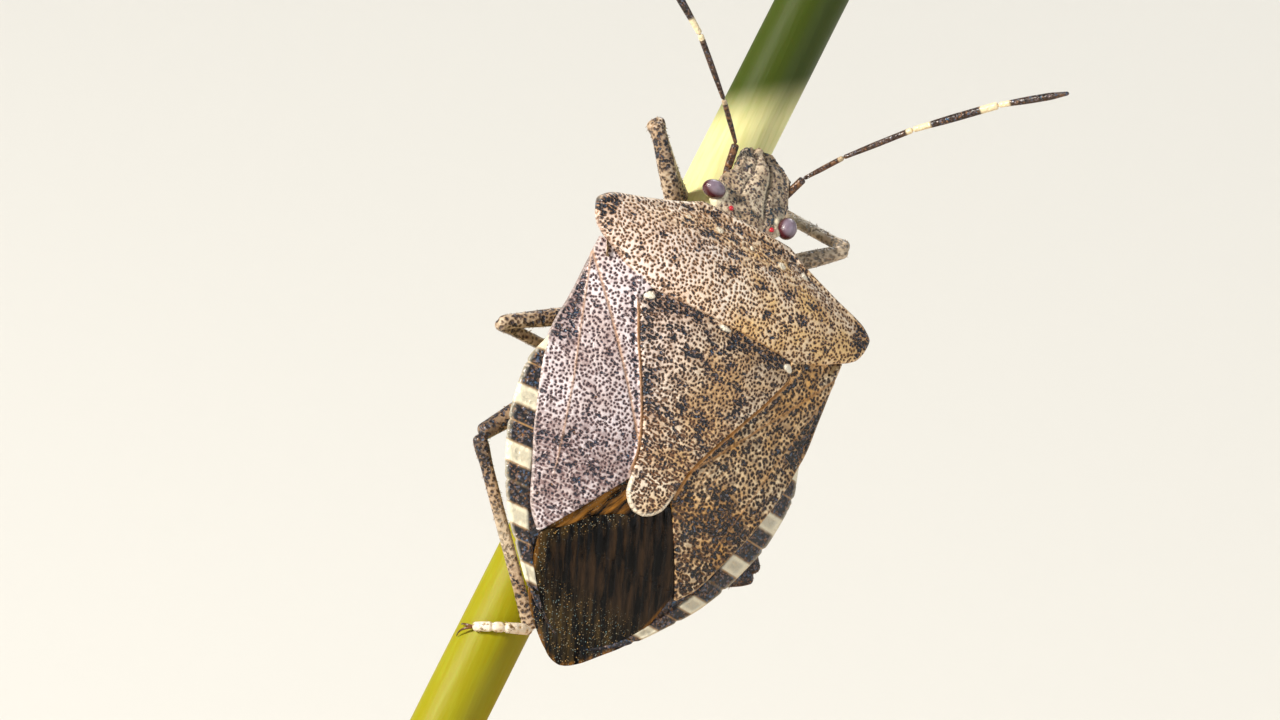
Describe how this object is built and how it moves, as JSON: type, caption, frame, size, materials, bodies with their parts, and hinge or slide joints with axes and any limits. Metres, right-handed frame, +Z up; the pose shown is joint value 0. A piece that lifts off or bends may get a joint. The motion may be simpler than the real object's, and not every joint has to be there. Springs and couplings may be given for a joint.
{
  "type": "shield bug",
  "caption": "Life-size shield bug climbing a cut length of plant stem, shown on a flat round base with a short rod.",
  "frame": {"origin": "centre of the underside of the display base, where it rests on a table", "axes": "+Z up; -Y towards the viewer who sees the insect's back; +X to that viewer's right"},
  "size_m": [0.025, 0.025, 0.0296],
  "materials": {
    "cuticle_brown": "hard pitted cuticle, mottled brown on ochre",
    "cuticle_pale": "hard cuticle, pale ochre with dark pits",
    "forewing": "leathery pitted forewing, pinkish brown",
    "wing_membrane": "smoky glossy membrane with raised veins",
    "abdomen_rim": "banded rim, near black and cream",
    "leg": "tan cuticle with dark specks and fine bristles",
    "foot": "creamy cuticle with short bristles",
    "feeler": "dark brown with pale rings",
    "eye": "faceted compound eye, maroon and grey",
    "plant_stem": "waxy green-yellow plant stem",
    "beech": "turned and oiled beech",
    "steel": "drawn steel rod"
  },
  "bodies": {
    "root": {"head": "cuticle_brown", "eye_left": "eye", "eye_right": "eye", "rostrum": "cuticle_pale", "antenna_left_scape": "feeler", "antenna_left_pedicel_1": "feeler", "antenna_left_pedicel_2": "feeler", "antenna_left_flagellum_1": "feeler", "antenna_left_flagellum_2": "feeler", "antenna_right_scape": "feeler", "antenna_right_pedicel_1": "feeler", "antenna_right_pedicel_2": "feeler", "antenna_right_flagellum_1": "feeler", "antenna_right_flagellum_2": "feeler", "pronotum": "cuticle_brown", "scutellum": "cuticle_brown", "corium_left": "forewing", "corium_right": "forewing", "membrane_left": "wing_membrane", "membrane_right": "wing_membrane", "abdomen": "abdomen_rim", "thorax_front": "cuticle_pale", "thorax_rear": "cuticle_pale", "leg_front_left_coxa": "cuticle_pale", "leg_front_left_femur": "leg", "leg_front_left_tibia": "leg", "leg_front_left_tarsus": "foot", "leg_front_right_coxa": "cuticle_pale", "leg_front_right_femur": "leg", "leg_front_right_tibia": "leg", "leg_front_right_tarsus": "foot", "leg_middle_left_coxa": "cuticle_pale", "leg_middle_left_femur": "leg", "leg_middle_left_tibia": "leg", "leg_middle_left_tarsus": "foot", "leg_middle_right_coxa": "cuticle_pale", "leg_middle_right_femur": "leg", "leg_middle_right_tibia": "leg", "leg_middle_right_tarsus": "foot", "leg_hind_left_coxa": "cuticle_pale", "leg_hind_left_femur": "leg", "leg_hind_left_tibia": "leg", "leg_hind_left_tarsus": "foot", "leg_hind_right_coxa": "cuticle_pale", "leg_hind_right_femur": "leg", "leg_hind_right_tibia": "leg", "leg_hind_right_tarsus": "foot", "perch_stem": "plant_stem", "stand_base": "beech", "stand_rod": "steel"}
  },
  "joints": []
}
